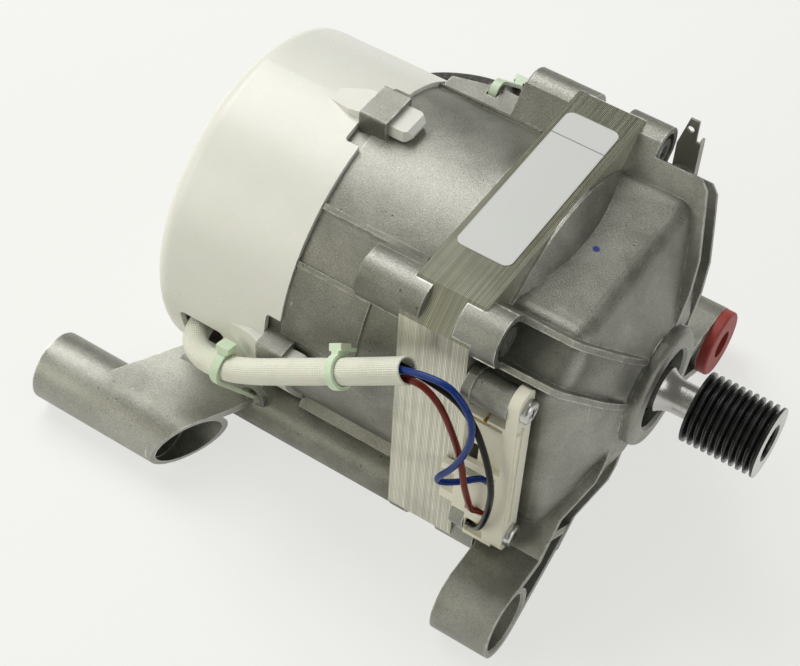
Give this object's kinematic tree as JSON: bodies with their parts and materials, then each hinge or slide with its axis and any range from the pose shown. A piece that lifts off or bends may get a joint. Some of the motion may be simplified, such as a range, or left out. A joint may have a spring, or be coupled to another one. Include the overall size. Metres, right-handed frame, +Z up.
{
  "type": "washing machine motor",
  "caption": "Enclosed belt-drive motor with cast end shields, four mounting barrels, a grooved pulley, a terminal block and sleeved leads.",
  "frame": {"origin": "under the middle of the whole, level with the lowest point of the mounting barrels", "axes": "+X along the shaft towards the pulley, +Y away from the lead side, +Z up"},
  "size_m": [0.2246, 0.1636, 0.1257],
  "materials": {
    "hood_plastic": "smooth moulded, off-white",
    "cast_alloy": "as cast, sandy grain",
    "lamination": "stacked sheet edges",
    "bolt_steel": "zinc plated",
    "shaft_steel": "ground",
    "pulley_black": "glossy black, bare front face",
    "bush_red": "dull brick red",
    "block_cream": "moulded, cream",
    "contact_brass": "stamped",
    "sleeve_white": "braided",
    "lead_blue": "wire cover",
    "lead_brown": "wire cover",
    "lead_black": "wire cover",
    "tie_green": "moulded, pale green",
    "cable_black": "soft cable cover",
    "label_pale": "printed film left bare",
    "winding_copper": "enamelled copper wire",
    "insulator_plastic": "moulded",
    "magnet_dark": "coated sintered magnet",
    "plate_alloy": "turned",
    "bearing_steel": "polished",
    "seal_rubber": "moulded",
    "ring_magnet": "bonded magnet",
    "board_green": "coated board",
    "plug_white": "moulded"
  },
  "bodies": {
    "housing": {"rear_hood": "hood_plastic", "rear_shield": "cast_alloy", "front_shield": "cast_alloy", "stator_core": "lamination", "through_bolts": "bolt_steel", "mount_bush": "bush_red", "terminal_block": "block_cream", "terminal_screws": "bolt_steel", "terminal_contacts": "contact_brass", "lead_sleeve": "sleeve_white", "lead_blue": "lead_blue", "lead_brown": "lead_brown", "lead_black": "lead_black", "sleeve_tie_rear": "tie_green", "sleeve_tie_front": "tie_green", "cable_tie_far": "tie_green", "sensor_cable": "cable_black", "earth_tab": "bolt_steel", "earth_screw": "bolt_steel", "rating_label": "label_pale", "winding_u": "winding_copper", "winding_v": "winding_copper", "winding_w": "winding_copper", "front_insulator": "insulator_plastic", "rear_insulator": "insulator_plastic", "front_bearing_outer": "bearing_steel", "front_bearing_seals": "seal_rubber", "rear_bearing_outer": "bearing_steel", "rear_bearing_seals": "seal_rubber", "wave_washer": "bolt_steel", "sensor_board": "board_green", "sensor_screws": "bolt_steel", "sensor_plug": "plug_white"},
    "rotor": {"shaft": "shaft_steel", "drive_pulley": "pulley_black", "rotor_core": "lamination", "rotor_magnets": "magnet_dark", "rotor_end_plates": "plate_alloy", "front_bearing_inner": "bearing_steel", "rear_bearing_inner": "bearing_steel", "shaft_clip": "bolt_steel", "sensor_magnet": "ring_magnet"},
    "front_cage": {"front_bearing_balls": "bearing_steel"},
    "rear_cage": {"rear_bearing_balls": "bearing_steel"}
  },
  "joints": [
    {"name": "shaft_spin", "type": "hinge", "parent": "housing", "child": "rotor", "pos_m": [0, 0, 0.0641], "axis": [1, 0, 0], "continuous": true},
    {"name": "front_cage_spin", "type": "hinge", "parent": "housing", "child": "front_cage", "pos_m": [0.0661, 0, 0.0641], "axis": [1, 0, 0], "continuous": true},
    {"name": "rear_cage_spin", "type": "hinge", "parent": "housing", "child": "rear_cage", "pos_m": [-0.0304, 0, 0.0641], "axis": [1, 0, 0], "continuous": true}
  ],
  "couplings": [
    {"joint": "front_cage_spin", "follows": "shaft_spin", "ratio": 0.3812},
    {"joint": "rear_cage_spin", "follows": "shaft_spin", "ratio": 0.365}
  ]
}
